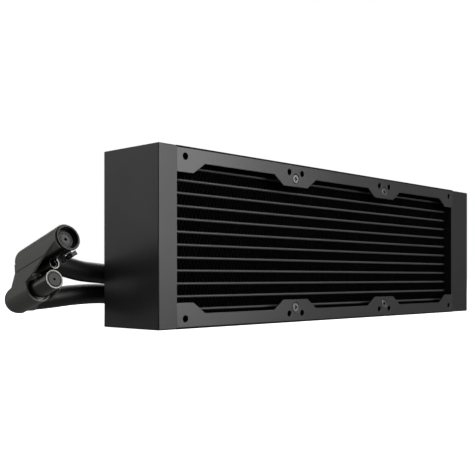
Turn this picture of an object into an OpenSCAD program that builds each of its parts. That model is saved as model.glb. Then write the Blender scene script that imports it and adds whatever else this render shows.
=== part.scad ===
// Liquid cooling radiator for three fans, standing on its long edge.
// Two hoses leave the wide tank, run along the back and end in one coupling head.
// Origin: middle of the bottom edge. +X runs along the body, +Y to the back, +Z up.

/* [Core] */
// Length between the two tanks, three fans wide
core_l = 360; // [350:1:370]
// Height of the body
body_h = 118; // [116:1:124]
// Thickness of the body, front face to back face
body_t = 56; // [50:1:64]
// Number of flat tubes
tube_n = 12; // [8:1:12]
// Distance between the middles of neighbouring tubes
tube_pitch = 8.5; // [8:0.1:8.6]
// Thickness of one flat tube
tube_t = 1.9; // [1.6:0.1:2.6]
// Wall of a flat tube
tube_wall = 0.3; // [0.2:0.05:0.5]
// Depth of the tubes and fins behind each face
core_recess = 8.8; // [6:0.1:12]
// Folds in one row of fins
fold_n = 40; // [20:1:60]
// Thickness of the fin sheet
fin_t = 0.4; // [0.2:0.1:0.6]

/* [Tanks] */
// Length of the narrow end tank
left_tank_l = 15.5; // [12:0.5:24]
// Length of the wide end tank, which carries the ports
right_tank_l = 33; // [30:0.5:40]
// Wall of both tanks
tank_wall = 1.2; // [1:0.1:2]
// Rounding of the tanks' upright outer edges
tank_r = 2; // [1:0.5:4]
// Thickness of the header plates
header_t = 1.5; // [1:0.1:2]
// Step from the rails' face back to the wide tank's face
tank_step = 1.5; // [0.5:0.1:2]

/* [Rails] */
// Thickness of a mounting rail
rail_t = 1.5; // [1:0.1:2]
// Distance from the body's edge to the rail's outer edge
rail_edge = 1; // [0.8:0.1:2]
// Distance from the body's edge to the rail's inner edge
rail_inner = 9.8; // [9:0.1:12]
// Distance from the body's edge to a tab's inner edge
tab_inner = 17; // [16:0.1:20]
// Distance between the middles of neighbouring fans
fan_pitch = 120; // [119:0.5:121]
// Spacing of one fan's four holes
fan_hole_gap = 105; // [104:0.5:106]
// Diameter of a fan hole
fan_hole_d = 4.4; // [4:0.1:5]
// Distance from the body's edge to a rail screw
rail_screw_in = 11; // [10.5:0.1:12]

/* [Ports and hoses] */
// Height of each port above or below the middle of the body
port_rise = 18; // [16:1:24]
// Distance from the back face to the middle of a hose at its elbow
hose_back = 12; // [11:0.5:14]
// Outer diameter of a hose
hose_d = 14; // [12:0.5:14]
// Diameter of an elbow's body
elbow_d = 17; // [16:0.5:18]

/* [Coupling head] */
// Tilt of the couplings above level, in degrees
head_tilt = 18; // [0:0.1:30]
// Distance from the socket's rim to its hose
leg_l = 45.2; // [44:0.1:48]
// Distance from the plug's face to its hose
plug_leg_l = 43; // [42:0.1:46]
// Distance between the axes of socket and plug
leg_gap = 19.2; // [18.6:0.1:20]
// Distance of the plug's face behind the socket's rim
plug_back = 21.8; // [20:0.1:24]
// Diameter of both legs of the cover
leg_d = 18; // [17.8:0.1:18.2]
// Diameter of the socket's rim
rim_d = 16.4; // [16.2:0.1:17]
// Diameter of the plug's nose
nose_d = 12.44; // [12.3:0.02:12.5]
// Length of the plug's nose in front of the cover
nose_l = 18.2; // [17:0.1:19]
// Travel of the sleeve and of the valve when the couplings join
valve_travel = 14; // [12:0.5:14]

/* [Hidden] */

$fn = 64;
gap = 0.05; // clearance of pieces that are brazed, glued or pushed together
eps = 0.01;

body_l = left_tank_l + core_l + right_tank_l;
left_x = -body_l / 2;
core_x0 = left_x + left_tank_l;
core_x1 = core_x0 + core_l;
core_mid = (core_x0 + core_x1) / 2;
right_x = body_l / 2;
mid_z = body_h / 2;
face_y = body_t / 2;
core_t = body_t - 2 * core_recess;
fin_h = tube_pitch - tube_t;
support_t = 1;

// mounting rails
corner_tab = 14.7; // flat end of a corner tab
corner_foot = 25.3; // where its slope meets the rail
tab_half = 14; // half of a middle tab's flat end
tab_foot = 24.5; // half of its width at the rail
sink_r = 3.75; // countersink of a rail screw at the face
screw_r = 1.5;

// ports, elbows and the hoses' collars
port_x = core_x1 + right_tank_l / 2;
port_r = 7; // hole in the tank
stem_r = 6.4;
stem_out = 3.35; // outer face of a stem's flange, from the tank
water_r = 4; // waterway of every fitting
elbow_y = face_y + hose_back;
elbow_out = 14; // from the port's axis to the elbow's end
collar_l = 13.6;
collar_r = 9.2;

// coupling head
head_at = [-253.8, 39.734, 43.283]; // where the upper hose meets its leg
leg_r = leg_d / 2;
rim_r = rim_d / 2;
socket_r = 7.6; // socket and plug bodies inside the cover
bore_r = 6.3; // the sleeve's bore
mouth_r = 6.6; // the wider mouth in front of it
mouth_l = 3;
face_in = 3.2; // the sleeve's face behind the rim
disc_r = 4.1; // the fixed disc in the sleeve
sleeve_l = 4.3;
nose_r = nose_d / 2;
valve_bore_r = 4.4;
valve_l = 3.5;
cover_wall = 1.3;
rim_l = 1.2;
cover_y = rim_l + 0.1; // the upper cover starts this far behind the rim's front
part_z = -6.3; // where the two covers meet, below the socket's axis
hose_side_z = -3; // lower edge of the upper cover on the side of the hoses
plug_z = -leg_gap;
cover_mouth = plug_back + nose_l;
plug_hose_y = plug_back + plug_leg_l;
guide_r = 3.6;
guide_bore_r = 2.9;
guide_at = [2.4, 22.4, -8.6];
guide_l = 14;
stub_l = 10.5; // the legs' stubs round the hoses, from the leg's axis
hose_in = 7.7; // the hoses end this far from the leg's axis

// release lever, in its own frame turned about the socket's axis
lever_turn = -26;
lever_y = 11;
lever_z = -10;
lever_w = 4;
hook_y = 3.2; // front of the lever's hook
lever_pin_r = 0.8;

// Routes of the hoses, from the elbows to the coupling head
upper_route = [
    [168, 40, 77], [152, 40, 77], [136, 40, 77], [114, 40, 74], [90, 40, 63],
    [66, 40, 46], [40, 40, 28], [14, 40, 14], [-12, 40, 8], [-40, 40, 7.2],
    [-66, 40, 7.4], [-92, 40, 11], [-118, 40, 18], [-144, 40, 27], [-170, 40, 33],
    [-194, 40, 35.7], [-214, 40, 37.6], [-230, 39.8, 41.2],
    [-240, 39.73, 43.28], [-246, 39.73, 43.28]
];
lower_route = [
    [168, 40, 41], [152, 40, 41], [138, 40, 40.8], [114, 41.6, 36.6], [90, 45.4, 28],
    [66, 50, 17.6], [40, 53.5, 9.8], [14, 54.6, 7.4], [-12, 54.6, 7.2], [-40, 54.6, 7.2],
    [-66, 54.6, 7.2], [-92, 54.4, 7.6], [-118, 53, 10.4], [-144, 50.6, 15.4], [-170, 48.4, 20.2],
    [-194, 47.6, 22], [-214, 49, 21.4], [-230, 51.2, 19.8], [-240, 52.44, 18.97],
    [-246, 52.44, 18.97]
];

// ---- swept tubes ----

function unit(v) = v / norm(v);

// direction of a path at point i
function heading(path, i) =
    unit(path[min(i + 1, len(path) - 1)] - path[max(i - 1, 0)]);

// one ring of n points round point i of a path
function ring(path, i, r, n, ref) =
    let (t = heading(path, i), s = unit(cross(t, ref)), u = cross(s, t))
    [for (k = [0 : n - 1]) path[i] + r * (cos(360 * k / n) * s + sin(360 * k / n) * u)];

// closed tube of radius r with n sides along a path
module sweep_tube(path, r, n, ref) {
    m = len(path);
    points = [for (i = [0 : m - 1]) each ring(path, i, r, n, ref)];
    sides = [for (i = [0 : m - 2], k = [0 : n - 1])
        let (a = i * n + k, b = i * n + (k + 1) % n)
        each [[a, b, b + n], [a, b + n, a + n]]];
    start = [for (k = [1 : n - 2]) [0, k + 1, k]];
    finish = [for (k = [1 : n - 2]) [(m - 1) * n, (m - 1) * n + k, (m - 1) * n + k + 1]];
    polyhedron(points = points, faces = concat(sides, start, finish));
}

// coil spring along +Y
module coil_spring(r, wire_r, turns, l) {
    steps = 12;
    path = [for (i = [0 : turns * steps])
        [r * cos(360 * i / steps), wire_r + (l - 2 * wire_r) * i / (turns * steps),
         r * sin(360 * i / steps)]];
    sweep_tube(path, wire_r, 6, [0, 1, 0]);
}

// ---- shapes that repeat ----

// round bar along +Y from y0 to y1
module bar_y(r, y0, y1) {
    translate([0, y0, 0])
        rotate([-90, 0, 0])
            cylinder(h = y1 - y0, r = r);
}

// round bar along +X from x0 to x1
module bar_x(r, x0, x1) {
    translate([x0, 0, 0])
        rotate([0, 90, 0])
            cylinder(h = x1 - x0, r = r);
}

// cone along +Y
module cone_y(r0, r1, y0, y1) {
    translate([0, y0, 0])
        rotate([-90, 0, 0])
            cylinder(h = y1 - y0, r1 = r0, r2 = r1);
}

// round bar along +Y from y0 to y1, with a ball in its back end
module domed_y(r, y0, y1) {
    bar_y(r, y0, y1);
    translate([0, y1, 0])
        sphere(r = r);
}

// the same shape in one turned piece
module capsule_y(r, y0, y1) {
    l = y1 - y0;
    translate([0, y0, 0])
        rotate([-90, 0, 0])
            rotate_extrude()
                intersection() {
                    union() {
                        square([r, l]);
                        translate([0, l])
                            circle(r = r);
                    }
                    square([r, l + r]);
                }
}

// flat bar with round ends, w wide and h high
module stadium(w, h) {
    square([w - h, h], center = true);
    for (s = [-1, 1])
        translate([s * (w - h) / 2, 0])
            circle(d = h, $fn = 24);
}

// plan of a tank: its outer end is at x = 0 and has round corners
module tank_plan(l, y0, y1, r) {
    translate([r, y0])
        square([l - r, y1 - y0]);
    translate([0, y0 + r])
        square([r + eps, y1 - y0 - 2 * r]);
    for (y = [y0 + r, y1 - r])
        translate([r, y])
            circle(r = r);
}

// middles of the tubes' heights
tube_z = [for (i = [0 : tube_n - 1]) mid_z + (i - (tube_n - 1) / 2) * tube_pitch];

// middles of the fin rows' heights
fin_z = [for (i = [0 : tube_n]) mid_z + (i - tube_n / 2) * tube_pitch];

// heights of the outer and inner face of the strips that close the fin stack
support_in = (tube_n + 1) * tube_pitch / 2 - tube_t / 2;

// middles of the fans along the body
fan_x = [for (i = [-1 : 1]) core_mid + i * fan_pitch];

// middles of the rails' middle tabs
tab_x = [for (s = [-1, 1]) core_mid + s * fan_pitch / 2];

// ---- tanks and core ----

// Hollow tank with its outer end at x = 0, open towards +X
module tank_shell(l, y0, y1) {
    difference() {
        linear_extrude(body_h)
            tank_plan(l, y0, y1, tank_r);
        translate([tank_wall, y0 + tank_wall, tank_wall])
            cube([l, y1 - y0 - 2 * tank_wall, body_h - 2 * tank_wall]);
    }
}

// Header plate with one slot for each tube, starting at x = 0
module header_plate(y0, y1) {
    difference() {
        translate([0, y0 + tank_wall + gap, tank_wall + gap])
            cube([header_t, y1 - y0 - 2 * tank_wall - 2 * gap,
                  body_h - 2 * tank_wall - 2 * gap]);
        for (z = tube_z)
            translate([-1, 0, z])
                rotate([90, 0, 90])
                    linear_extrude(header_t + 2)
                        stadium(core_t + 2 * gap, tube_t + 2 * gap);
    }
}

module left_end_tank() {
    color("#2f2f31")
        translate([left_x, 0, 0])
            tank_shell(left_tank_l, -face_y, face_y);
}

module right_end_tank() {
    color("#3c3c3f")
        difference() {
            translate([right_x, 0, 0])
                mirror([1, 0, 0])
                    tank_shell(right_tank_l, -face_y + tank_step, face_y);
            for (s = [-1, 1])
                translate([port_x, 0, mid_z + s * port_rise])
                    bar_y(port_r + gap, face_y - 5, face_y + 1);
            translate([right_x, 0, body_h - 14])
                bar_x(5 + gap, -5, 1);
        }
}

module left_header_plate() {
    color("#4a4a4c")
        translate([core_x0 - header_t, 0, 0])
            header_plate(-face_y, face_y);
}

module right_header_plate() {
    color("#4a4a4c")
        translate([core_x1, 0, 0])
            header_plate(-face_y + tank_step, face_y);
}

// keeps the incoming and the outgoing water apart in the wide tank
module tank_divider() {
    color("#4a4a4c")
        translate([core_x1 + header_t, -face_y + tank_step + tank_wall + gap, mid_z - 0.6])
            cube([right_tank_l - header_t - tank_wall - gap,
                  body_t - tank_step - 2 * tank_wall - 2 * gap, 1.2]);
}

module flat_tubes() {
    color("#4d4d50")
        for (z = tube_z)
            translate([core_x0 - header_t - 1, 0, z])
                rotate([90, 0, 90])
                    linear_extrude(core_l + 2 * header_t + 2)
                        difference() {
                            stadium(core_t, tube_t);
                            stadium(core_t - 2 * tube_wall, tube_t - 2 * tube_wall);
                        }
}

// folded strip between two tubes, drawn as a zigzag in x and z
module fins() {
    pitch = core_l / fold_n;
    low = (fin_h - fin_t) / 2;
    line = [for (i = [0 : 2 * fold_n]) [i * pitch / 2, (i % 2 == 0 ? -1 : 1) * low]];
    last = len(line) - 1;
    color("#1c1c1e")
        for (z = fin_z)
            translate([core_x0, core_t / 2, z])
                rotate([90, 0, 0])
                    linear_extrude(core_t)
                        polygon(concat(
                            [for (p = line) p + [0, fin_t / 2]],
                            [for (i = [last : -1 : 0]) line[i] - [0, fin_t / 2]]));
}

module core_supports() {
    color("#3a3a3c")
        for (s = [0, 1])
            translate([core_x0, -core_t / 2,
                       mid_z + (s == 0 ? -support_in - support_t : support_in)])
                cube([core_l, core_t, support_t]);
}

// ---- side plates and rails ----

// Outline of the front top rail in x and z, drawn in by an inset
module rail_outline(inset) {
    top = body_h - rail_edge;
    low = body_h - rail_inner + inset;
    tab = body_h - tab_inner + inset;
    side = core_l / 2;
    polygon([
        [core_mid - side, top], [core_mid - side, tab],
        [core_mid - side + corner_tab - inset, tab], [core_mid - side + corner_foot - inset, low],
        [tab_x[0] - tab_foot + inset, low], [tab_x[0] - tab_half + inset, tab],
        [tab_x[0] + tab_half - inset, tab], [tab_x[0] + tab_foot - inset, low],
        [tab_x[1] - tab_foot + inset, low], [tab_x[1] - tab_half + inset, tab],
        [tab_x[1] + tab_half - inset, tab], [tab_x[1] + tab_foot - inset, low],
        [core_mid + side - corner_foot + inset, low], [core_mid + side - corner_tab + inset, tab],
        [core_mid + side, tab], [core_mid + side, top]
    ]);
}

// Upper fan holes of all three fans, as bars along Y
module fan_holes(y0, y1) {
    for (x = fan_x, s = [-1, 1])
        translate([x + s * fan_hole_gap / 2, 0, mid_z + fan_hole_gap / 2])
            bar_y(fan_hole_d / 2, y0, y1);
}

// Front top rail
module rail() {
    difference() {
        translate([0, -face_y + rail_t, 0])
            rotate([90, 0, 0])
                linear_extrude(rail_t)
                    rail_outline(0);
        fan_holes(-face_y - 1, -face_y + rail_t + 1);
        for (x = tab_x)
            translate([x, -face_y, body_h - rail_screw_in])
                cone_y(sink_r + 1, sink_r - rail_t - 1, -1, rail_t + 1);
    }
}

// Flange of the top side plate, behind the front rail
module rail_flange() {
    difference() {
        translate([0, -face_y + 2 * rail_t, 0])
            rotate([90, 0, 0])
                linear_extrude(rail_t)
                    rail_outline(1);
        fan_holes(-face_y, -face_y + 3 * rail_t);
        for (x = tab_x)
            translate([x, 0, body_h - rail_screw_in])
                bar_y(screw_r + gap, -face_y, -face_y + 3 * rail_t);
    }
}

// Countersunk screws of the front top rail, with a cross recess
module rail_screw_pair() {
    for (x = tab_x)
        translate([x, -face_y, body_h - rail_screw_in])
            difference() {
                union() {
                    cone_y(sink_r - 0.8, sink_r - rail_t - gap, 0.75, rail_t);
                    bar_y(screw_r, rail_t, 7);
                }
                for (a = [0, 90])
                    rotate([0, a, 0])
                        translate([-1.7, 0, -0.4])
                            cube([3.4, 1.6, 0.8]);
            }
}

// Top side plate: a cover strip with a flange behind each rail
module side_plate() {
    translate([core_x0, -face_y, body_h - rail_edge])
        cube([core_l, body_t, rail_edge]);
    rail_flange();
    mirror([0, 1, 0])
        rail_flange();
}

// Turns a piece of the top over to the bottom
module to_bottom() {
    translate([0, 0, body_h])
        mirror([0, 0, 1])
            children();
}

module top_side_plate() {
    color("#3d3d40")
        side_plate();
}

module bottom_side_plate() {
    color("#3d3d40")
        to_bottom()
            side_plate();
}

module front_rail_top() {
    color("#55555a")
        rail();
}

module front_rail_bottom() {
    color("#4c4c50")
        to_bottom()
            rail();
}

module rear_rail_top() {
    color("#55555a")
        mirror([0, 1, 0])
            rail();
}

module rear_rail_bottom() {
    color("#4c4c50")
        mirror([0, 1, 0])
            to_bottom()
                rail();
}

module front_rail_screws() {
    color("#77777a") {
        rail_screw_pair();
        to_bottom()
            rail_screw_pair();
    }
}

module rear_rail_screws() {
    color("#77777a")
        mirror([0, 1, 0]) {
            rail_screw_pair();
            to_bottom()
                rail_screw_pair();
        }
}

// ---- fill plug on the wide tank's end ----

module at_fill_port() {
    translate([right_x, 0, body_h - 14])
        children();
}

// screw plug with a coin slot
module fill_plug() {
    color("#2b2b2d")
        at_fill_port()
            difference() {
                union() {
                    bar_x(5, -6, 0.9);
                    bar_x(8.2, 0.9, 3.2);
                }
                translate([1.9, -6, -0.8])
                    cube([3, 12, 1.6]);
            }
}

module fill_plug_seal() {
    color("#151516")
        at_fill_port()
            difference() {
                bar_x(7.6, gap, 0.9 - gap);
                bar_x(5 + gap, -1, 2);
            }
}

// ---- ports, elbows and hoses ----

module at_port(s) {
    translate([port_x, 0, mid_z + s * port_rise])
        children();
}

module port_inserts() {
    color("#8a8a8c")
        for (s = [-1, 1])
            at_port(s)
                difference() {
                    union() {
                        bar_y(port_r, face_y - 7, face_y);
                        bar_y(9.6, face_y, face_y + 2);
                    }
                    bar_y(stem_r + gap, face_y - 8, face_y + 3);
                }
}

// threaded stems on which the elbows swivel
module swivel_stems() {
    color("#9a9a9c")
        for (s = [-1, 1])
            at_port(s)
                difference() {
                    union() {
                        bar_y(stem_r, face_y - 6, face_y + 2.9);
                        bar_y(9.4, face_y + 2.9, face_y + stem_out);
                    }
                    bar_y(water_r, face_y - 7, face_y + 5);
                }
}

module port_seals() {
    color("#151516")
        for (s = [-1, 1])
            at_port(s)
                difference() {
                    bar_y(8.8, face_y + 2 + gap, face_y + 2.9 - gap);
                    bar_y(stem_r + gap, face_y, face_y + 5);
                }
}

// elbow with its outlet towards -X and a barb for the hose
module elbow() {
    r = elbow_d / 2;
    difference() {
        union() {
            capsule_y(r, face_y + stem_out + gap, elbow_y);
            translate([0, elbow_y, 0]) {
                bar_x(r, -elbow_out, 0);
                bar_x(4.9, -elbow_out - 5.4, -elbow_out);
            }
        }
        bar_y(water_r, face_y, elbow_y + 3);
        translate([0, elbow_y, 0])
            bar_x(water_r - 0.3, -elbow_out - 6, 0);
    }
}

module upper_elbow() {
    color("#2b2b2d")
        at_port(1)
            elbow();
}

module lower_elbow() {
    color("#2b2b2d")
        at_port(-1)
            elbow();
}

// compression collars that hold the hoses on the elbows' barbs
module hose_collars() {
    color("#242426")
        for (s = [-1, 1])
            translate([port_x - elbow_out, elbow_y, mid_z + s * port_rise])
                difference() {
                    bar_x(collar_r, -collar_l, -gap);
                    bar_x(hose_d / 2 + gap, -collar_l - 1, 1);
                }
}

module upper_hose() {
    color("#1b1b1c")
        sweep_tube(upper_route, hose_d / 2, 12, [0, 0, 1]);
}

module lower_hose() {
    color("#1b1b1c")
        sweep_tube(lower_route, hose_d / 2, 12, [0, 0, 1]);
}

// ---- coupling head ----
// Own frame: the socket's axis is Y with its rim at y = 0, the hoses leave towards +X,
// and the plug lies below the socket.

module in_head() {
    translate(head_at)
        rotate([-head_tilt, 0, 0])
            translate([0, -leg_l, 0])
                children();
}

// Leg of the cover: a round bar with a round back end, and a stub for the hose
module leg_solid(r, y0, y1, stub) {
    domed_y(r, y0, y1);
    translate([0, y1, 0])
        bar_x(r, 0, stub);
}

// Wall of the upper cover in section: a straight side and a quarter round end
module cover_section() {
    l = leg_l - cover_y;
    difference() {
        intersection() {
            union() {
                square([leg_r, l]);
                translate([0, l])
                    circle(r = leg_r);
            }
            square([leg_r, l + leg_r]);
        }
        square([socket_r + gap, l]);
        translate([0, l])
            circle(r = socket_r + gap);
    }
}

// upper cover: the top and the flat side of the socket's leg, open below
module upper_cover() {
    open_at = asin(part_z / leg_r);
    color("#5a5a58")
        in_head()
            difference() {
                union() {
                    translate([0, cover_y, 0])
                        rotate([-90, 0, 0])
                            rotate([0, 0, 180 + open_at])
                                rotate_extrude(angle = 180 - open_at - asin(hose_side_z / leg_r))
                                    cover_section();
                    translate([0, leg_l, 0])
                        bar_x(leg_r - 0.4, 4, stub_l);
                    // flat side towards -X
                    translate([-leg_r, 0, 0])
                        rotate([90, 0, 90])
                            linear_extrude(cover_wall)
                                polygon([[cover_y, -1], [cover_y, -1.6], [15, part_z],
                                         [leg_l + 4.9, part_z], [leg_l + 3.8, -1]]);
                }
                domed_y(socket_r + gap, 6, leg_l);
                translate([0, leg_l, 0])
                    bar_x(hose_d / 2 + gap, 1, stub_l + 1);
                cover_screw_holes();
            }
}

// lower cover: the plug's whole leg and the flat side up to the parting line
module lower_cover() {
    mouth = cover_mouth;
    color("#4c4c4c")
        in_head()
            difference() {
                union() {
                    translate([0, 0, plug_z])
                        leg_solid(leg_r, mouth, plug_hose_y, stub_l);
                    translate([-leg_r, 0, 0])
                        rotate([90, 0, 90])
                            linear_extrude(cover_wall)
                                polygon([[15.2, part_z - gap], [31.4, -13], [mouth, -15.4],
                                         [mouth, plug_z], [plug_hose_y, plug_z],
                                         [plug_hose_y - 1, plug_z + 4.4], [57.6, -14],
                                         [leg_l + 5, part_z - gap]]);
                    // tongue beside the plug, on the side of the hoses
                    translate([leg_r - cover_wall, 0, 0])
                        rotate([90, 0, 90])
                            linear_extrude(cover_wall)
                                polygon([[30, plug_z - 1], [30, plug_z - 4], [mouth + 1, plug_z - 7],
                                         [plug_hose_y, plug_z - 4], [plug_hose_y, plug_z],
                                         [mouth, plug_z + 4]]);
                }
                translate([0, 0, plug_z]) {
                    domed_y(socket_r + gap, mouth - 1, plug_hose_y);
                    translate([0, plug_hose_y, 0])
                        bar_x(hose_d / 2 + gap, 1, stub_l + 1);
                }
                cover_screw_holes();
            }
}

cover_screw_at = [[leg_r - 0.2, 30, 0], [leg_r - 0.2, 52, plug_z]];

module cover_screw_holes() {
    for (p = cover_screw_at)
        translate(p)
            bar_x(1.6 + gap, -2, 2);
}

// small screws that hold the flat sides of the covers to the bodies inside
module cover_screws() {
    color("#77777a")
        in_head()
            for (p = cover_screw_at)
                translate(p)
                    difference() {
                        bar_x(1.6, -0.9, 0.6);
                        for (a = [0, 90])
                            rotate([a, 0, 0])
                                translate([0.1, -1, -0.25])
                                    cube([1, 2, 0.5]);
                    }
}

// socket: a body with a wide rim, a mouth and the sleeve's bore
module socket_body() {
    bore_end = face_in + sleeve_l + valve_travel + 3;
    color("#262628")
        in_head()
            difference() {
                union() {
                    bar_y(rim_r, 0, rim_l);
                    bar_y(socket_r, rim_l, leg_l - 8);
                }
                bar_y(mouth_r, -1, mouth_l);
                bar_y(bore_r, mouth_l - eps, bore_end);
                bar_y(water_r, bore_end - eps, leg_l);
            }
}

// fixed disc on a rod, which opens the mating valve
module socket_stem() {
    bore_end = face_in + sleeve_l + valve_travel + 3;
    color("#a9a9a9")
        in_head()
            difference() {
                union() {
                    bar_y(disc_r, face_in, face_in + 2.6);
                    bar_y(1.5, face_in, bore_end - 1.2);
                    bar_y(bore_r - gap, bore_end - 1.2, bore_end - gap);
                }
                bar_y(0.7, face_in - 1, face_in + 1);
                for (a = [45 : 90 : 315])
                    rotate([0, a, 0])
                        translate([3.8, 0, 0])
                            bar_y(1.3, bore_end - 2, bore_end + 1);
            }
}

// sliding sleeve round the disc; the mating plug pushes it back
module socket_sleeve() {
    color("#8f8f8f")
        in_head()
            difference() {
                union() {
                    bar_y(5, face_in, face_in + 0.8);
                    bar_y(bore_r - 0.06, face_in + 0.8, face_in + sleeve_l);
                }
                bar_y(disc_r + 0.08, face_in - 1, face_in + sleeve_l + 1);
            }
}

module socket_spring() {
    back = face_in + sleeve_l;
    color("#c0c0c0")
        in_head()
            translate([0, back + 0.3, 0])
                coil_spring(5.3, 0.45, 6, valve_travel + 1.2);
}

// turns the waterway from the socket to the hose
module head_elbow(y0, y1) {
    difference() {
        capsule_y(socket_r - gap, y0, y1);
        bar_y(water_r, y0 - 1, y1 + 3);
        translate([0, y1, 0])
            bar_x(water_r - 0.3, 0, hose_in + 1);
    }
}

module upper_head_elbow() {
    color("#1f1f21")
        in_head()
            head_elbow(leg_l - 8, leg_l);
}

module lower_head_elbow() {
    color("#1f1f21")
        in_head()
            translate([0, 0, plug_z])
                head_elbow(plug_hose_y - 12, plug_hose_y);
}

module at_plug() {
    in_head()
        translate([0, plug_back, plug_z])
            children();
}

// plug: a polished nose with the valve's bore, and a flange inside the cover
module plug_body() {
    bore_end = valve_l + valve_travel + 4;
    color("#d0d0d0")
        at_plug()
            difference() {
                union() {
                    bar_y(nose_r, 0, nose_l);
                    bar_y(nose_r - 0.3, nose_l, nose_l + 2);
                    bar_y(socket_r, nose_l + 2, plug_leg_l - 12);
                }
                bar_y(5, -1, 1.6);
                bar_y(valve_bore_r, 0, bore_end);
                bar_y(3.2, bore_end - eps, plug_leg_l);
            }
}

// flat valve in the plug's face, with a small dimple
module plug_valve() {
    color("#9c9c9c")
        at_plug()
            difference() {
                union() {
                    bar_y(valve_bore_r - 0.08, 0, valve_l);
                    bar_y(1.2, valve_l, valve_l + 3.4);
                }
                cone_y(0.9, 0.2, -eps, 0.7);
            }
}

module plug_spring() {
    color("#c0c0c0")
        at_plug()
            translate([0, valve_l + 0.3, 0])
                coil_spring(3.5, 0.4, 7, valve_travel + 3.2);
}

// rubber ring let into the plug's face
module plug_seal() {
    color("#151516")
        at_plug()
            difference() {
                bar_y(5 - gap, 0.1, 1.6 - gap);
                bar_y(valve_bore_r, -1, 3);
            }
}

// channel under the socket, a tube let into its round
module guide_sleeve() {
    color("#b5b5b5")
        in_head()
            difference() {
                translate(guide_at)
                    bar_y(guide_r, 0, guide_l);
                translate(guide_at)
                    bar_y(guide_bore_r, -1, guide_l + 1);
                bar_y(socket_r + gap, 0, leg_l);
            }
}

module guide_liner() {
    color("#202022")
        in_head()
            difference() {
                translate(guide_at)
                    bar_y(guide_bore_r - gap, 1.2, guide_l);
                translate(guide_at)
                    bar_y(1.9, 0, 10);
                bar_y(socket_r + gap, 0, leg_l);
            }
}

// ---- release lever under the socket's rim ----

module in_lever() {
    in_head()
        rotate([0, lever_turn, 0])
            children();
}

// two ears on a saddle, which hold the lever's pin
module lever_block() {
    color("#1f1f21")
        in_lever()
            difference() {
                translate([-3.3, lever_y - 2.2, lever_z - 1.4])
                    cube([6.6, 4.4, 5]);
                bar_y(socket_r + gap, 0, 20);
                translate([-lever_w / 2 - 0.3, lever_y - 3, lever_z - 3])
                    cube([lever_w + 0.6, 6, 4.7]);
                translate([0, lever_y, lever_z])
                    bar_x(lever_pin_r + gap, -5, 5);
            }
}

module lever_pin() {
    color("#b5b5b5")
        in_lever()
            translate([0, lever_y, lever_z])
                bar_x(lever_pin_r, -3.4, 3.4);
}

// rocking lever: thumb pad at the back, hook at the rim
module release_lever() {
    color("#c4c4c4")
        in_lever()
            difference() {
                union() {
                    translate([-lever_w / 2, hook_y, lever_z - 1.3])
                        cube([lever_w, 12.4, 1.2]);
                    translate([-lever_w / 2, hook_y, lever_z - 1.3])
                        cube([lever_w, 2, 2.8]);
                    translate([0, lever_y, lever_z])
                        bar_x(1.4, -lever_w / 2, lever_w / 2);
                }
                translate([0, lever_y, lever_z])
                    bar_x(lever_pin_r + gap, -5, 5);
            }
}

// leaf spring between the lever's thumb pad and the socket
module lever_spring() {
    color("#c0c0c0")
        in_lever()
            translate([-1.2, 0, 0])
                rotate([90, 0, 90])
                    linear_extrude(2.4)
                        polygon([[13.4, -8.2], [16.4, -7.75], [16.4, -8.05], [14.2, -8.45],
                                 [15.4, -9.9], [15.05, -9.95]]);
}

left_end_tank();
right_end_tank();
left_header_plate();
right_header_plate();
tank_divider();
flat_tubes();
fins();
core_supports();
top_side_plate();
bottom_side_plate();
front_rail_top();
front_rail_bottom();
rear_rail_top();
rear_rail_bottom();
front_rail_screws();
rear_rail_screws();
fill_plug();
fill_plug_seal();
port_inserts();
swivel_stems();
port_seals();
upper_elbow();
lower_elbow();
hose_collars();
upper_hose();
lower_hose();
upper_cover();
lower_cover();
cover_screws();
socket_body();
socket_stem();
socket_sleeve();
socket_spring();
upper_head_elbow();
plug_body();
plug_valve();
plug_spring();
plug_seal();
lower_head_elbow();
guide_sleeve();
guide_liner();
lever_block();
lever_pin();
release_lever();
lever_spring();
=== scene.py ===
import math

import bmesh
import bpy
from mathutils import Matrix, Vector


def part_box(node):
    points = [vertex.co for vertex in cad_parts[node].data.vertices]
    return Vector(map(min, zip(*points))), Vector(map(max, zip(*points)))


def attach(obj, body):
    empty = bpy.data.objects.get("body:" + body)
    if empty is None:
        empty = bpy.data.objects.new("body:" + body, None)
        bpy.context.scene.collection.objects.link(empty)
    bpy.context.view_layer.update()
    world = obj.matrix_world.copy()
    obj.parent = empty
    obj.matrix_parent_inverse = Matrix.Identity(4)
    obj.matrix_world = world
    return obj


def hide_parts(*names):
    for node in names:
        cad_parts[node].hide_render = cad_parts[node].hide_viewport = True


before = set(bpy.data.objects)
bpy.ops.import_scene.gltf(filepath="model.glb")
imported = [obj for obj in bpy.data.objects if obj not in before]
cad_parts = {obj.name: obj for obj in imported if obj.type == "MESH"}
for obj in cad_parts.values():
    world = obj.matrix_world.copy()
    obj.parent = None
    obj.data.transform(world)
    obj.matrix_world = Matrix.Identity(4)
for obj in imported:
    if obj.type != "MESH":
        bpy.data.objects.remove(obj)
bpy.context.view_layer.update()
mm = 0.001


# small helpers

def hexColor(code):  # sRGB hex to linear
    parts = [int(code[i:i + 2], 16) / 255 for i in (1, 3, 5)]
    linear = [c / 12.92 if c <= 0.04045 else ((c + 0.055) / 1.055) ** 2.4 for c in parts]
    return (*linear, 1.0)


def addNode(tree, kind, links=None, **settings):
    # settings: an attribute of the node, or in<Number> for an input's value
    node = tree.nodes.new(kind)
    for key, value in settings.items():
        if key.startswith("in") and key[2:].isdigit():
            node.inputs[int(key[2:])].default_value = value
        else:
            setattr(node, key, value)
    for key, source in (links or {}).items():
        tree.links.new(source, node.inputs[key])
    return node


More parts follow.
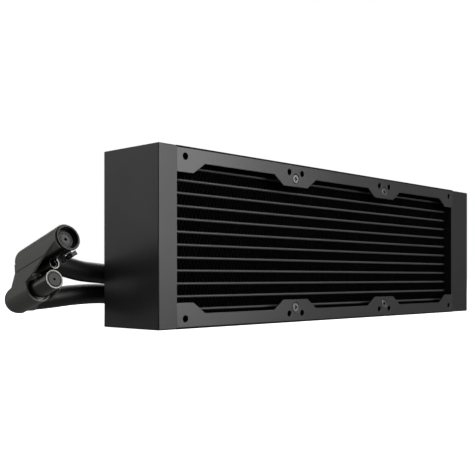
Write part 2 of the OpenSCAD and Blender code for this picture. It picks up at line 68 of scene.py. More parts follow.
def newMaterial(name, color, roughness, metallic=0.0, **shaderSettings):
    mat = bpy.data.materials.new(name)
    mat.use_nodes = True
    mat.node_tree.nodes.clear()
    shader = addNode(mat.node_tree, "ShaderNodeBsdfPrincipled")
    shader.inputs["Base Color"].default_value = hexColor(color)
    shader.inputs["Roughness"].default_value = roughness
    shader.inputs["Metallic"].default_value = metallic
    for key, value in shaderSettings.items():
        shader.inputs[key.replace("_", " ")].default_value = value
    addNode(mat.node_tree, "ShaderNodeOutputMaterial", {"Surface": shader.outputs[0]})
    return mat, mat.node_tree, shader


def turn(degrees, axis):
    return Matrix.Rotation(math.radians(degrees), 4, axis)


def smoothBelow(mesh, degrees):  # smooth shading, with edges sharper than this kept crisp
    mesh.shade_smooth()
    mesh.set_sharp_from_angle(angle=math.radians(degrees))


def meshPiece(name, bm, material, smoothAngle=None):
    bmesh.ops.remove_doubles(bm, verts=bm.verts, dist=1e-7)
    bmesh.ops.recalc_face_normals(bm, faces=bm.faces)
    mesh = bpy.data.meshes.new(name)
    bm.to_mesh(mesh)
    bm.free()
    obj = bpy.data.objects.new(name, mesh)
    bpy.context.scene.collection.objects.link(obj)
    mesh.materials.append(material)
    if smoothAngle is not None:
        smoothBelow(mesh, smoothAngle)
    return obj


def flatFaces(obj):  # faces square to the body are flat, their round edges stay smooth
    for face in obj.data.polygons:
        if max(abs(c) for c in face.normal) > 0.9999:
            face.use_smooth = False
    return obj


def plainMesh(obj):  # the evaluated shape as a plain mesh, with no modifier left
    deps = bpy.context.evaluated_depsgraph_get()
    mesh = bpy.data.meshes.new_from_object(obj.evaluated_get(deps))
    obj.modifiers.clear()
    obj.data = mesh
    return obj


# camera

cameraView = {
    "place": (-0.5268, -0.4011, 0.0330),
    "pan": -46.55,  # degrees, from looking along +Y
    "tilt": 89.91,
    "lens": 59.6,
    "shiftX": 0.001,
    "shiftY": 0.0876,
}


def makeCamera(v):
    cam = bpy.data.cameras.new("camera")
    cam.lens = v["lens"]
    cam.sensor_width = 36
    cam.shift_x = v["shiftX"]
    cam.shift_y = v["shiftY"]
    cam.clip_start = 0.01
    obj = bpy.data.objects.new("camera", cam)
    obj.location = v["place"]
    obj.rotation_euler = (math.radians(v["tilt"]), 0, math.radians(v["pan"]))
    bpy.context.scene.collection.objects.link(obj)
    bpy.context.scene.camera = obj


makeCamera(cameraView)
print("camera ready")


# hoses

hoses = {
    "diameter": 14 * mm,
    "sides": 40,
    "stepsPerPoint": 8,
    "inside": 0.995,  # drawn just inside its CAD solid
    "upper": [
        (168, 40, 77), (152, 40, 77), (136, 40, 77), (114, 40, 74), (90, 40, 63),
        (66, 40, 46), (40, 40, 28), (14, 40, 14), (-12, 40, 8), (-40, 40, 7.2),
        (-66, 40, 7.4), (-92, 40, 11), (-118, 40, 18), (-144, 40, 27), (-170, 40, 33),
        (-194, 40, 35.7), (-214, 40, 37.6), (-230, 39.8, 41.2), (-240, 39.73, 43.28),
        (-246, 39.73, 43.28)],
    "lower": [
        (168, 40, 41), (152, 40, 41), (138, 40, 40.8), (114, 41.6, 36.6), (90, 45.4, 28),
        (66, 50, 17.6), (40, 53.5, 9.8), (14, 54.6, 7.4), (-12, 54.6, 7.2), (-40, 54.6, 7.2),
        (-66, 54.6, 7.2), (-92, 54.4, 7.6), (-118, 53, 10.4), (-144, 50.6, 15.4), (-170, 48.4, 20.2),
        (-194, 47.6, 22), (-214, 49, 21.4), (-230, 51.2, 19.8), (-240, 52.44, 18.97),
        (-246, 52.44, 18.97)],
}


def smoothRoute(points, steps):  # Catmull-Rom through the route's points, in metres
    pts = [Vector(p) * mm for p in points]
    pts = [pts[0] * 2 - pts[1]] + pts + [pts[-1] * 2 - pts[-2]]
    out = []
    for a, b, c, d in zip(pts, pts[1:], pts[2:], pts[3:]):
        for i in range(steps):
            t = i / steps
            out.append(0.5 * (2 * b + (c - a) * t + (2 * a - 5 * b + 4 * c - d) * t ** 2
                              + (3 * b - a - 3 * c + d) * t ** 3))
    return out + [pts[-2]]


def hoseMesh(name, path, radius, sides, material):
    bm = bmesh.new()
    rings = []
    for i, p in enumerate(path):
        along = (path[min(i + 1, len(path) - 1)] - path[max(i - 1, 0)]).normalized()
        side = along.cross(Vector((0, 0, 1))).normalized()
        up = side.cross(along)
        turns = [2 * math.pi * k / sides for k in range(sides)]
        ring = [p + radius * (math.cos(a) * side + math.sin(a) * up) for a in turns]
        rings.append([bm.verts.new(v) for v in ring])
    for a, b in zip(rings, rings[1:]):
        for k in range(sides):
            bm.faces.new((a[k], a[k - 1], b[k - 1], b[k]))
    bm.faces.new(rings[0])
    bm.faces.new(rings[-1])
    return meshPiece(name, bm, material, 40)


def hoseRubber():
    # EPDM rubber, extruded: near black, satin, with faint lengthwise die lines
    mat, tree, shader = newMaterial("EPDM rubber, extruded", "#1b1b1c", 0.36, Specular_IOR_Level=0.4)
    coord = addNode(tree, "ShaderNodeTexCoord")
    place = addNode(tree, "ShaderNodeMapping", {"Vector": coord.outputs["Object"]})
    place.inputs["Scale"].default_value = (12, 900, 900)  # lines about 1 mm apart, 80 mm long
    lines = addNode(tree, "ShaderNodeTexNoise", {"Vector": place.outputs[0]}, in2=1.0, in3=2.0)
    bump = addNode(tree, "ShaderNodeBump", {"Height": lines.outputs[0]}, in0=0.25)
    bump.inputs["Distance"].default_value = 0.15 * mm
    tree.links.new(bump.outputs[0], shader.inputs["Normal"])
    rough = addNode(tree, "ShaderNodeMapRange", {"Value": lines.outputs[0]}, in3=0.34, in4=0.52)
    tree.links.new(rough.outputs[0], shader.inputs["Roughness"])
    return mat


rubberMat = hoseRubber()
hosePieces = {}
for key in ("upper", "lower"):
    path = smoothRoute(hoses[key], hoses["stepsPerPoint"])
    piece = hoseMesh(key + "HoseTube", path, hoses["diameter"] / 2 * hoses["inside"],
                     hoses["sides"], rubberMat)
    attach(piece, "radiator")
    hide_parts(key + "_hose")
    hosePieces[key] = (piece, path)
print("hoses ready")


# materials

def powderCoat(name, color, roughness, grainMm, bumpMm, specular=0.5):
    # paint on sheet metal: black with a fine orange-peel skin and faint dulled patches
    mat, tree, shader = newMaterial(name, color, roughness, Specular_IOR_Level=specular)
    coord = addNode(tree, "ShaderNodeTexCoord")
    peel = addNode(tree, "ShaderNodeTexNoise", {"Vector": coord.outputs["Object"]}, in3=3.0)
    peel.inputs["Scale"].default_value = 1 / (grainMm * mm)
    bump = addNode(tree, "ShaderNodeBump", {"Height": peel.outputs[0]}, in0=0.35)
    bump.inputs["Distance"].default_value = bumpMm * mm
    tree.links.new(bump.outputs[0], shader.inputs["Normal"])
    cloud = addNode(tree, "ShaderNodeTexNoise", {"Vector": coord.outputs["Object"]}, in3=4.0)
    cloud.inputs["Scale"].default_value = 1 / (40 * mm)
    rough = addNode(tree, "ShaderNodeMapRange", {"Value": cloud.outputs[0]})
    rough.inputs["To Min"].default_value = roughness - 0.05
    rough.inputs["To Max"].default_value = roughness + 0.05
    tree.links.new(rough.outputs[0], shader.inputs["Roughness"])
    return mat


def mouldedPlastic(name, color, roughness, grainMm, specular=0.5):
    # moulded ABS or nylon: even colour with a fine spark-eroded grain
    mat, tree, shader = newMaterial(name, color, roughness, Specular_IOR_Level=specular)
    coord = addNode(tree, "ShaderNodeTexCoord")
    grain = addNode(tree, "ShaderNodeTexNoise", {"Vector": coord.outputs["Object"]}, in3=2.0)
    grain.inputs["Scale"].default_value = 1 / (grainMm * mm)
    bump = addNode(tree, "ShaderNodeBump", {"Height": grain.outputs[0]}, in0=0.2)
    bump.inputs["Distance"].default_value = 0.05 * mm
    tree.links.new(bump.outputs[0], shader.inputs["Normal"])
    return mat


def turnedMetal(name, color, roughness):
    # bare, plated or blasted metal: very fine marks in its roughness
    mat, tree, shader = newMaterial(name, color, roughness, 1.0)
    coord = addNode(tree, "ShaderNodeTexCoord")
    marks = addNode(tree, "ShaderNodeTexNoise", {"Vector": coord.outputs["Object"]}, in3=3.0)
    marks.inputs["Scale"].default_value = 1 / (0.6 * mm)
    rough = addNode(tree, "ShaderNodeMapRange", {"Value": marks.outputs[0]})
    rough.inputs["To Min"].default_value = roughness * 0.8
    rough.inputs["To Max"].default_value = roughness * 1.25
    tree.links.new(rough.outputs[0], shader.inputs["Roughness"])
    return mat


tankPaint = powderCoat("powder coat on brass tank", "#161617", 0.38, 0.9, 0.03, 0.38)
railPaint = powderCoat("powder coat on steel rail", "#1f1f20", 0.33, 0.9, 0.04)
# near-black paint of the copper core; on the top and bottom side plates the same paint is painted shade, a
# dark line standing in for the dark reflection on their rounded edges
coreBlackAndShadeLine = powderCoat("matt black core paint and painted shade on side plates", "#020202", 0.6, 0.5, 0.04, 0.1)
tubePaint = powderCoat("satin spray paint on brass tubes", "#2e2e30", 0.45, 0.6, 0.04)
screwZinc = turnedMetal("black zinc on steel", "#727274", 0.32)
fittingNylon = mouldedPlastic("glass-filled nylon, moulded", "#0c0c0d", 0.36, 0.5, 0.4)
coverPlastic = mouldedPlastic("ABS cover, moulded satin", "#50504d", 0.42, 0.7)
sealRubber = mouldedPlastic("nitrile rubber", "#101011", 0.6, 0.4)
nickelBrass = turnedMetal("nickel-plated brass", "#b9b8b4", 0.25)
satinNickel = turnedMetal("nickel plate, satin", "#6e6e6a", 0.35)
dullMetal = turnedMetal("black nickel, satin", "#3a3a39", 0.4)
brightMetal = turnedMetal("black chrome, polished", "#585854", 0.27)
springWire = turnedMetal("drawn spring steel", "#b0b0b0", 0.3)
glossNylon = mouldedPlastic("acetal, turned and polished", "#020202", 0.25, 0.5, 0.22)
darkMetal = turnedMetal("black nickel, blasted", "#303030", 0.4)

finishes = {
    tankPaint: ["left_end_tank", "right_end_tank", "left_header_plate", "right_header_plate",
                "tank_divider"],
    # the side plates take the near-black core paint as painted shade along the body's top and bottom edges
    coreBlackAndShadeLine: ["fins", "core_supports", "top_side_plate", "bottom_side_plate"],
    tubePaint: ["flat_tubes"],
    railPaint: ["front_rail_top", "front_rail_bottom",
                "rear_rail_top", "rear_rail_bottom"],
    screwZinc: ["front_rail_screws", "rear_rail_screws", "cover_screws"],
    fittingNylon: ["fill_plug", "upper_elbow", "lower_elbow", "hose_collars", "upper_head_elbow",
                   "lower_head_elbow", "socket_body", "guide_liner", "lever_block"],
    sealRubber: ["fill_plug_seal", "port_seals", "plug_seal"],
    nickelBrass: ["port_inserts", "swivel_stems"],
    coverPlastic: ["upper_cover", "lower_cover"],
    dullMetal: ["socket_stem", "socket_sleeve", "plug_valve"],
    satinNickel: ["guide_sleeve"],
    brightMetal: ["plug_body", "lever_pin"],
    darkMetal: ["release_lever"],
    springWire: ["socket_spring", "plug_spring", "lever_spring"],
}
for mat, names in finishes.items():
    for name in names:
        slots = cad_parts[name].data.materials
        for i in range(max(1, len(slots))):
            if i < len(slots):
                slots[i] = mat
            else:
                slots.append(mat)
print("finishes ready")


# body: tanks and rails

def loopOf(points):
    return [Vector((x, y, 0)) * mm for x, y in points]


def circleLoop(x, y, r, n=40):
    turns = [2 * math.pi * k / n for k in range(n)]
    return [(x + r * math.cos(a), y + r * math.sin(a)) for a in turns]


def plateMesh(loops, thickness, bevel, place):
    # a flat plate with round-edged outline and holes, from z = 0 to its thickness, then placed
    curve = bpy.data.curves.new("outline", "CURVE")
    curve.dimensions = "2D"
    curve.fill_mode = "BOTH"
    curve.extrude = (thickness / 2 - bevel) * mm
    curve.bevel_depth = bevel * mm
    curve.bevel_resolution = 2
    curve.offset = -bevel * mm
    for points in loops:
        spline = curve.splines.new("POLY")
        spline.points.add(len(points) - 1)
        for point, v in zip(spline.points, loopOf(points)):
            point.co = (*v, 1)
        spline.use_cyclic_u = True
    obj = bpy.data.objects.new("outline", curve)
    bpy.context.scene.collection.objects.link(obj)
    mesh = bpy.data.meshes.new_from_object(obj.evaluated_get(bpy.context.evaluated_depsgraph_get()))
    bpy.data.objects.remove(obj)
    mesh.transform(Matrix.Translation((0, 0, thickness / 2 * mm)))
    mesh.transform(place)
    bm = bmesh.new()
    bm.from_mesh(mesh)
    return bm


def ringSolid(bm, profile, place, steps=48):
    # closed solid turned round the place's Z axis; profile is a closed list of (r, z) in mm
    rings = []
    for r, z in profile:
        if r < 1e-6:
            rings.append([bm.verts.new(place @ Vector((0, 0, z * mm)))])
            continue
        turns = [2 * math.pi * k / steps for k in range(steps)]
        ring = [Vector((r * math.cos(a), r * math.sin(a), z)) * mm for a in turns]
        rings.append([bm.verts.new(place @ v) for v in ring])
    for a, b in zip(rings, rings[1:] + rings[:1]):
        for k in range(steps):
            corners = []
            for v in (a[k % len(a)], a[(k + 1) % len(a)], b[(k + 1) % len(b)], b[k % len(b)]):
                if v not in corners:
                    corners.append(v)
            if len(corners) > 2:
                bm.faces.new(corners)


bodyPlan = {
    "railEdge": 1.0, "railInner": 9.8, "tabInner": 17.0,
    "cornerTab": 14.7, "cornerFoot": 25.3, "tabHalf": 14.0, "tabFoot": 24.5,
    "railThickness": 1.5, "fanPitch": 120.0, "fanGap": 105.0, "fanHole": 2.2,
    "sink": 3.75, "screwIn": 11.0, "edge": 0.3,
    "tankWall": 1.2, "tankCorner": 0.8, "tankEdge": 0.8, "tankStep": 1.5,
    "seatLip": 0.28, "seatHole": 2.25,  # conical seats of the rail screws
    "portRise": 18, "portHole": 7.05, "plugHole": 5.05,
}
coreLo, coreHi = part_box("front_rail_top")
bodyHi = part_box("left_end_tank")[1]
coreX0, coreX1 = coreLo[0] / mm, coreHi[0] / mm
coreMid = (coreX0 + coreX1) / 2
bodyH, faceY = bodyHi[2] / mm, bodyHi[1] / mm


def railOutline(p):  # depth below the body's top edge along x, from the left end round to the right
    side = (coreX1 - coreX0) / 2
    marks = [(-side, p["tabInner"]), (-side + p["cornerTab"], p["tabInner"]),
             (-side + p["cornerFoot"], p["railInner"])]
    for x in (-p["fanPitch"] / 2, p["fanPitch"] / 2):
        marks += [(x - p["tabFoot"], p["railInner"]), (x - p["tabHalf"], p["tabInner"]),
                  (x + p["tabHalf"], p["tabInner"]), (x + p["tabFoot"], p["railInner"])]
    marks += [(side - p["cornerFoot"], p["railInner"]), (side - p["cornerTab"], p["tabInner"]),
              (side, p["tabInner"]), (side, p["railEdge"]), (-side, p["railEdge"])]
    return [(coreMid + x, bodyH - depth) for x, depth in marks]


def railPiece(name, p, front, top):
    loops = [railOutline(p)]
    fanZ = bodyH / 2 + p["fanGap"] / 2
    for fan in (-1, 0, 1):
        for s in (-1, 1):
            fanX = coreMid + fan * p["fanPitch"] + s * p["fanGap"] / 2
            loops.append(circleLoop(fanX, fanZ, p["fanHole"]))
    screws = [(coreMid + s * p["fanPitch"] / 2, bodyH - p["screwIn"]) for s in (-1, 1)]
    loops += [circleLoop(x, z, p["sink"]) for x, z in screws]
    upright = Matrix.Translation((0, -faceY * mm, 0)) @ turn(90, "X")
    inward = Matrix.Translation((0, p["railThickness"] * mm, 0)) @ upright
    bm = plateMesh(loops, p["railThickness"], p["edge"], inward)
    for x, z in screws:  # conical seat of each countersunk screw
        seat = Matrix.Translation((x * mm, -faceY * mm, z * mm)) @ turn(-90, "X")
        ringSolid(bm, [(p["sink"] + 0.02, p["seatLip"]), (p["sink"] + 0.02, p["railThickness"]),
                        (p["seatHole"], p["railThickness"])], seat)
    flip = Matrix.Diagonal((1, 1 if front else -1, 1, 1))
    if not top:
        flip = Matrix.Translation((0, 0, bodyH * mm)) @ Matrix.Diagonal((1, 1, -1, 1)) @ flip
    bm.transform(flip)
    return flatFaces(meshPiece(name, bm, railPaint, 35))


for front, side in ((True, "front"), (False, "rear")):
    for top, level in ((True, "top"), (False, "bottom")):
        node = side + "_rail_" + level
        piece = railPiece(side + "Rail" + level.title(), bodyPlan, front, top)
        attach(piece, "radiator")
        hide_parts(node)
print("rails ready")


def cutAway(obj, cutters):
    for cutter in cutters:
        cut = obj.modifiers.new("cut", "BOOLEAN")
        cut.operation = "DIFFERENCE"
        cut.solver = "EXACT"
        cut.object = cutter
    plainMesh(obj)
    for cutter in cutters:
        bpy.data.objects.remove(cutter)
    return obj


def boxCutter(lo, hi):
    bm = bmesh.new()
    bmesh.ops.create_cube(bm, size=1)
    size = [(b - a) * mm for a, b in zip(lo, hi)]
    middle = [(b + a) / 2 * mm for a, b in zip(lo, hi)]
    bm.transform(Matrix.Translation(middle) @ Matrix.Diagonal((*size, 1)))
    return meshPiece("cutter", bm, tankPaint)


def roundCutter(place, r, length):
    bm = bmesh.new()
    ringSolid(bm, [(0, 0), (r, 0), (r, length), (0, length)], place)
    return meshPiece("cutter", bm, tankPaint)


def tankOutline(x0, x1, y0, y1, r, outerLeft):
    # plan of a tank, with its two outer corners rounded
    turns = [math.radians(90 * k / 6) for k in range(7)]
    near = [(r - r * math.cos(a), r - r * math.sin(a)) for a in turns]
    corner = [(x, y0 + y) for x, y in near] + [(x1 - x0, y0), (x1 - x0, y1)]
    corner += [(x, y1 - y) for x, y in reversed(near)]
    return [(x0 + x, y) if outerLeft else (x1 - x, y) for x, y in corner]


def tankPiece(name, node, p, y0, outerLeft, holes):
    lo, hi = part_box(node)
    x0, x1 = lo[0] / mm, hi[0] / mm
    outline = tankOutline(x0, x1, y0, faceY, p["tankCorner"], outerLeft)
    bm = plateMesh([outline], bodyH, p["tankEdge"], Matrix.Identity(4))
    obj = meshPiece(name, bm, tankPaint, 35)
    w = p["tankWall"]
    left, right = (x0 + w, x1 + 1) if outerLeft else (x0 - 1, x1 - w)
    cavity = boxCutter((left, y0 + w, w), (right, faceY - w, bodyH - w))
    cutAway(obj, [cavity] + [roundCutter(*hole) for hole in holes])
    smoothBelow(obj.data, 35)
    flatFaces(obj)
    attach(obj, "radiator")
    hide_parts(node)
    return obj


portHoles = []
insertLo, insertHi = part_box("port_inserts")
portX = (insertLo[0] + insertHi[0]) / 2
for rise in (-bodyPlan["portRise"], bodyPlan["portRise"]):
    seat = Matrix.Translation((portX, faceY * mm - 0.004, bodyH / 2 * mm + rise * mm))
    portHoles.append((seat @ turn(-90, "X"), bodyPlan["portHole"], 6))
plugLo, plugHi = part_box("fill_plug")
plugSeat = Matrix.Translation((plugHi[0] - 0.008, 0, (plugLo[2] + plugHi[2]) / 2))
portHoles.append((plugSeat @ turn(90, "Y"), bodyPlan["plugHole"], 8))
tankPiece("leftTank", "left_end_tank", bodyPlan, -faceY, True, [])
tankPiece("rightTank", "right_end_tank", bodyPlan, -faceY + bodyPlan["tankStep"], False, portHoles)
print("tanks ready")


# fins

finPlan = {
    "foldPitch": 3.4,  # mm, two walls
    "sheet": 0.12,
    "wave": 0.45,  # sideways ripple of the walls, front to back
    "rows": 13, "rowPitch": 8.5, "tube": 1.9,
}


def foldMesh(p, depth):
    # one fold of sheet: up, over and down, rippled from front to back
    bm = bmesh.new()
    half = (p["rowPitch"] - p["tube"] - p["sheet"]) / 2
    pitch = p["foldPitch"]
    line = [(0, -half), (0.1, -half + 0.35), (0.4, half - 0.35), (0.5, half),
            (0.6, half - 0.35), (0.9, -half + 0.35), (1.0, -half)]
    stations = [(y / 3, p["wave"] * (y % 2)) for y in range(4)]
    layers = []
    for y, shift in stations:
        layer = []
        for up in (p["sheet"] / 2, -p["sheet"] / 2):
            for i, (x, z) in enumerate(line):
                wide = p["sheet"] * 0.6 * (1 if up > 0 else -1) * (1 if i < 3 else -1 if i > 3 else 0)
                ends = 0 if i in (0, 6) else -wide
                corner = Vector((x * pitch + shift + ends, (y - 0.5) * depth, z + up)) * mm
                layer.append(bm.verts.new(corner))
        layers.append(layer)
    n = len(line)
    for a, b in zip(layers, layers[1:]):
        for i in range(n - 1):
            bm.faces.new((a[i], a[i + 1], b[i + 1], b[i]))
            bm.faces.new((a[n + i], b[n + i], b[n + i + 1], a[n + i + 1]))
    for layer in (layers[0], layers[-1]):
        for i in range(n - 1):
            bm.faces.new((layer[i], layer[i + 1], layer[n + i + 1], layer[n + i]))
    return bm


def repeatTree(name):
    # a shape repeated along x and then along z, as Geometry Nodes with named inputs
    tree = bpy.data.node_groups.new(name, "GeometryNodeTree")
    face = tree.interface
    face.new_socket("Geometry", in_out="OUTPUT", socket_type="NodeSocketGeometry")
    kinds = {"Shape": "NodeSocketObject", "Material": "NodeSocketMaterial", "Start": "NodeSocketVector",
             "Count X": "NodeSocketInt", "Step X": "NodeSocketVector",
             "Count Z": "NodeSocketInt", "Step Z": "NodeSocketVector"}
    for label, kind in kinds.items():
        face.new_socket(label, in_out="INPUT", socket_type=kind)
    given = addNode(tree, "NodeGroupInput").outputs
    shape = addNode(tree, "GeometryNodeObjectInfo", {"Object": given["Shape"]})
    rowPoints = addNode(tree, "GeometryNodeMeshLine", {
        "Count": given["Count X"], "Start Location": given["Start"], "Offset": given["Step X"]})
    row = addNode(tree, "GeometryNodeInstanceOnPoints", {
        "Points": rowPoints.outputs[0], "Instance": shape.outputs["Geometry"]})
    rowMesh = addNode(tree, "GeometryNodeRealizeInstances", {"Geometry": row.outputs[0]})
    stackPoints = addNode(tree, "GeometryNodeMeshLine", {
        "Count": given["Count Z"], "Offset": given["Step Z"]})
    stack = addNode(tree, "GeometryNodeInstanceOnPoints", {
        "Points": stackPoints.outputs[0], "Instance": rowMesh.outputs[0]})
    real = addNode(tree, "GeometryNodeRealizeInstances", {"Geometry": stack.outputs[0]})
    done = addNode(tree, "GeometryNodeSetMaterial", {
        "Geometry": real.outputs[0], "Material": given["Material"]})
    addNode(tree, "NodeGroupOutput", {"Geometry": done.outputs[0]})
    return tree


def repeated(name, shape, tree, material, inputs):
    mesh = bpy.data.meshes.new(name)
    obj = bpy.data.objects.new(name, mesh)
    bpy.context.scene.collection.objects.link(obj)
    mod = obj.modifiers.new("repeat", "NODES")
    mod.node_group = tree
    values = {"Shape": shape, "Material": material, **inputs}
    for item in tree.interface.items_tree:
        if item.in_out == "INPUT" and item.name in values:
            mod[item.identifier] = values[item.name]
    plainMesh(obj)
    bpy.data.objects.remove(shape)
    if not obj.data.materials:
        obj.data.materials.append(material)
    return obj


finLo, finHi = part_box("fins")
foldShape = meshPiece("foldShape", foldMesh(finPlan, (finHi[1] - finLo[1]) / mm), coreBlackAndShadeLine)
foldCount = int((coreX1 - coreX0 - finPlan["wave"]) / finPlan["foldPitch"])
finStart = coreMid - foldCount * finPlan["foldPitch"] / 2 - finPlan["wave"] / 2
lowRow = bodyH / 2 - (finPlan["rows"] - 1) / 2 * finPlan["rowPitch"]
fins = repeated("finStack", foldShape, repeatTree("fin stack"), coreBlackAndShadeLine, {
    "Start": (finStart * mm, 0, lowRow * mm),
    "Count X": foldCount, "Step X": (finPlan["foldPitch"] * mm, 0, 0),
    "Count Z": finPlan["rows"], "Step Z": (0, 0, finPlan["rowPitch"] * mm)})
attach(fins, "radiator")
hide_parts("fins")
print("fins ready", len(fins.data.polygons))


# screws

screwPlan = {
    "radius": 3.3, "coneDepth": 2.1, "lip": 0.25, "sunk": 0.15,
    "crossLength": 3.7, "crossWidth": 1.15, "crossDepth": 1.4,
}


def screwShape(p):
    # countersunk cross-head screw, its head's face at z = 0, pointing down
    bm = bmesh.new()
    r = p["radius"]
    ringSolid(bm, [(0, -p["coneDepth"]), (1.5, -p["coneDepth"]), (r, -p["lip"]), (r - 0.05, -0.1),
                   (r - 0.2, 0), (0, 0)], Matrix.Identity(4), 32)
    obj = meshPiece("screwShape", bm, screwZinc)
    half, wide, deep = p["crossLength"] / 2, p["crossWidth"] / 2, p["crossDepth"]
    bars = []
    for size in ((half, wide), (wide, half)):
        bars.append(boxCutter((-size[0], -size[1], -deep), (size[0], size[1], 1)))
    cutAway(obj, bars)
    smoothBelow(obj.data, 30)
    return obj


for sideName, facing in (("front", 90), ("rear", -90)):
    face = turn(facing, "X")
    shape = screwShape(screwPlan)
    shape.data.transform(face)
    depth = (faceY - screwPlan["sunk"]) * (-1 if facing == 90 else 1)
    screws = repeated(sideName + "RailScrews", shape, repeatTree(sideName + " screws"), screwZinc, {
        "Start": ((coreMid - bodyPlan["fanPitch"] / 2) * mm, depth * mm, bodyPlan["screwIn"] * mm),
        "Count X": 2, "Step X": (bodyPlan["fanPitch"] * mm, 0, 0),
        "Count Z": 2, "Step Z": (0, 0, (bodyH - 2 * bodyPlan["screwIn"]) * mm)})
    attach(screws, "radiator")
    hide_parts(sideName + "_rail_screws")
print("screws ready")


# coupling head

headPlan = {
    "rim": (-253.8, -3.254, 57.251),  # middle of the socket's rim
    "tilt": 18.0,
    "plugBack": 21.8, "legGap": 19.2,
    "rimR": 8.2, "bodyR": 7.6, "mouthR": 6.6, "boreR": 6.3, "mouthL": 3.0,
    "legL": 45.2, "plugLegL": 43.0, "noseR": 6.22, "noseL": 18.2,
    "travel": 14.0, "faceIn": 3.2, "sleeveL": 4.3,
    "hoseEntryR": 7.6, "domeR": 9.02, "trimR": 13.0,  # lower cover's round end
}
headFrame = Matrix.Translation(Vector(headPlan["rim"]) * mm) @ turn(
    -headPlan["tilt"], "X")
alongY = turn(-90, "X")  # turns a shape's Z axis onto the head's Y
socketFrame = headFrame @ alongY
plugFrame = headFrame @ Matrix.Translation(
    Vector((0, headPlan["plugBack"], -headPlan["legGap"])) * mm) @ alongY


def turnedPiece(name, node, body, mat, frameMatrix, profile, steps=64):
    bm = bmesh.new()
    ringSolid(bm, profile, frameMatrix, steps)
    obj = meshPiece(name, bm, mat, 32)
    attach(obj, body)
    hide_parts(node)
    return obj


h = headPlan
boreEnd = h["faceIn"] + h["sleeveL"] + h["travel"] + 3
turnedPiece("socketShell", "socket_body", "radiator", glossNylon, socketFrame, [
    (h["mouthR"], 0.35), (h["mouthR"] + 0.35, 0), (h["rimR"] - 0.35, 0), (h["rimR"], 0.35),
    (h["rimR"], 1.0), (h["rimR"] - 0.2, 1.2), (h["bodyR"], 1.2), (h["bodyR"], h["legL"] - 8.2),
    (h["bodyR"] - 0.2, h["legL"] - 8), (4, h["legL"] - 8), (4, boreEnd), (h["boreR"], boreEnd),
    (h["boreR"], h["mouthL"] + 0.3), (h["boreR"] + 0.3, h["mouthL"]), (h["mouthR"], h["mouthL"])], 96)
discFace = h["faceIn"]
turnedPiece("socketDisc", "socket_stem", "radiator", dullMetal, socketFrame, [
    (0, discFace + 1.8), (0.8, discFace + 1.7), (0.85, discFace + 0.1), (1.0, discFace),
    (3.0, discFace), (3.1, discFace + 0.35), (3.4, discFace + 0.35), (3.5, discFace),
    (3.9, discFace), (4.08, discFace + 0.18), (4.08, discFace + 2.4), (3.9, discFace + 2.6),
    (1.5, discFace + 2.6), (1.5, boreEnd - 1.2),
    (h["boreR"] - 0.1, boreEnd - 1.2), (h["boreR"] - 0.1, boreEnd - 0.1), (0, boreEnd - 0.1)])
turnedPiece("sleeveRing", "socket_sleeve", "sleeve", dullMetal, socketFrame, [
    (4.2, discFace + 0.1), (4.3, discFace), (4.8, discFace), (5.0, discFace + 0.2),
    (5.0, discFace + 0.7), (5.3, discFace + 0.8), (6.1, discFace + 0.8), (6.23, discFace + 1.0),
    (6.23, discFace + 4.1), (6.1, discFace + 4.3), (4.3, discFace + 4.3), (4.2, discFace + 4.2)])
plugBoreEnd = 3.5 + h["travel"] + 4
turnedPiece("plugNose", "plug_body", "radiator", brightMetal, plugFrame, [
    (5.0, 0.2), (5.2, 0), (5.95, 0), (h["noseR"], 0.3), (h["noseR"], h["noseL"]),
    (h["noseR"] - 0.3, h["noseL"]), (h["noseR"] - 0.3, h["noseL"] + 2), (h["bodyR"], h["noseL"] + 2),
    (h["bodyR"], h["plugLegL"] - 12), (3.2, h["plugLegL"] - 12), (3.2, plugBoreEnd),
    (4.4, plugBoreEnd), (4.4, 1.6), (5.0, 1.6)], 96)
turnedPiece("valveDisc", "plug_valve", "valve", darkMetal, plugFrame, [
    (0, 1.3), (0.65, 1.2), (0.75, 0.1), (0.9, 0), (4.1, 0), (4.3, 0.2), (4.3, 3.3), (4.1, 3.5), (1.2, 3.5),
    (1.2, 6.8), (1.1, 6.9), (0, 6.9)])
print("turned pieces ready")


def softenedCopy(node, name, p, cutters):
    # a CAD piece with moulded, softly rounded edges: remeshed, then smoothed a little
    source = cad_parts[node]
    mesh = source.data.copy()
    mesh.transform(source.matrix_world)
    bm = bmesh.new()
    bm.from_mesh(mesh)
    bmesh.ops.remove_doubles(bm, verts=bm.verts, dist=1e-6)
    bm.to_mesh(mesh)
    bm.free()
    obj = bpy.data.objects.new(name, mesh)
    bpy.context.scene.collection.objects.link(obj)
    mesh.materials.clear()
    mesh.materials.append(coverPlastic)
    if cutters:
        cutAway(obj, cutters)
    remesh = obj.modifiers.new("remesh", "REMESH")
    remesh.mode = "VOXEL"
    remesh.voxel_size = p["voxel"] * mm
    smooth = obj.modifiers.new("smooth", "SMOOTH")
    smooth.factor = 0.5
    smooth.iterations = p["rounds"]
    plainMesh(obj)
    if not obj.data.materials:
        obj.data.materials.append(coverPlastic)
    obj.data.shade_smooth()
    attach(obj, "radiator")
    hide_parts(node)
    return obj


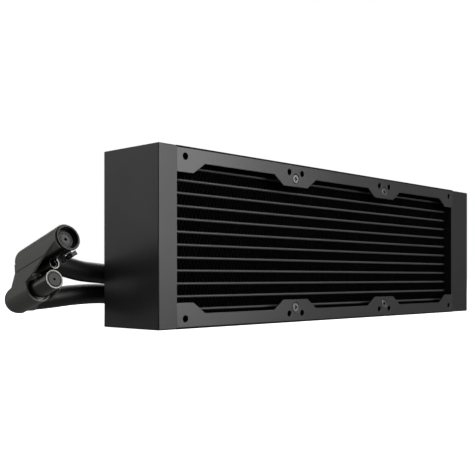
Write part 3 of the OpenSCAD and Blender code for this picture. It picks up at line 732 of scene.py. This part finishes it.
def stubTrimmer(p):
    # what stands out round the lower hose beyond the leg's own round shape
    hoseEnd = plugFrame @ Matrix.Translation((0, 0, p["plugLegL"] * mm))
    acrossX = hoseEnd @ turn(90, "Y")
    bm = bmesh.new()
    ringSolid(bm, [(p["hoseEntryR"], 2), (p["trimR"], 2), (p["trimR"], 14),
                   (p["hoseEntryR"], 14)], acrossX, 64)
    ring = meshPiece("cutter", bm, coverPlastic)
    turns = [math.radians(90 * k / 10) for k in range(11)]
    r, end = p["domeR"], p["plugLegL"]
    dome = [(r * math.cos(a), end + r * math.sin(a)) for a in turns]
    bm = bmesh.new()
    ringSolid(bm, [(0, 10), (r, 10)] + dome[:-1] + [(0, end + r)], plugFrame, 96)
    return cutAway(ring, [meshPiece("cutter", bm, coverPlastic)])


coverPlan = {"voxel": 0.28, "rounds": 2}
for level, cutters in (("upper", []), ("lower", [stubTrimmer(headPlan)])):
    made = softenedCopy(level + "_cover", level + "CoverShell", coverPlan, cutters)
    print(made.name, len(made.data.polygons))


# cords

headPieces = ["upper_cover", "lower_cover", "cover_screws", "socket_body", "socket_stem",
              "socket_sleeve", "socket_spring", "upper_head_elbow", "plug_body", "plug_valve",
              "plug_spring", "plug_seal", "lower_head_elbow", "guide_sleeve", "guide_liner",
              "lever_block", "lever_pin", "release_lever", "lever_spring"]
for key, farEnd, withPieces in (("upper", "connector", headPieces), ("lower", "object", [])):
    piece, path = hosePieces[key]


# studio

studio = {
    "roomLight": 0.17,  # strength of the white room round the object
    "floor": "#f4f4f4",
    "floorGlow": 0.93,
    "floorSize": 30,
}


def makeStudio():
    mat, tree, shader = newMaterial("matt white floor", studio["floor"], 0.9, Specular_IOR_Level=0.0)
    shader.inputs["Emission Color"].default_value = (1, 1, 1, 1)
    shader.inputs["Emission Strength"].default_value = studio["floorGlow"]
    bm = bmesh.new()
    bmesh.ops.create_grid(bm, x_segments=1, y_segments=1, size=studio["floorSize"])
    floor = meshPiece("floor", bm, mat)
    floor.visible_diffuse = False  # bright to the eye, but it lights nothing from below
    floor.visible_glossy = False
    world = bpy.data.worlds.new("studio")
    world.use_nodes = True
    tree = world.node_tree
    tree.nodes.clear()
    seen = addNode(tree, "ShaderNodeBackground", in0=(1, 1, 1, 1), in1=1.0)
    room = addNode(tree, "ShaderNodeBackground", in0=(1, 1, 1, 1), in1=studio["roomLight"])
    rays = addNode(tree, "ShaderNodeLightPath")
    mixed = addNode(tree, "ShaderNodeMixShader", {
        0: rays.outputs["Is Camera Ray"], 1: room.outputs[0], 2: seen.outputs[0]})
    addNode(tree, "ShaderNodeOutputWorld", {"Surface": mixed.outputs[0]})
    bpy.context.scene.world = world
    bpy.context.scene.view_settings.view_transform = "Standard"


softboxes = {
    "overhead": {"place": (0, 0, 2.4), "aim": (0, 0, 0), "size": 3.0, "watts": 24},
    "front": {"place": (0.5, -1.5, 0.5), "aim": (-0.19, 0, 0.08), "size": 1.3, "watts": 34},
    "side": {"place": (-1.3, 0.8, 0.6), "aim": (-0.2, 0, 0.08), "size": 1.3, "watts": 6.5},
    "back": {"place": (0.9, 1.4, 0.9), "aim": (0, 0, 0.06), "size": 1.3, "watts": 16},
}


def makeLights(boxes):
    for name, box in boxes.items():
        light = bpy.data.lights.new(name + "Softbox", "AREA")
        light.energy = box["watts"]
        light.size = box["size"]
        obj = bpy.data.objects.new(name + "Softbox", light)
        obj.location = box["place"]
        aim = Vector(box["aim"]) - Vector(box["place"])
        obj.rotation_euler = aim.to_track_quat("-Z", "Y").to_euler()
        bpy.context.scene.collection.objects.link(obj)


makeStudio()
makeLights(softboxes)
print("studio ready")
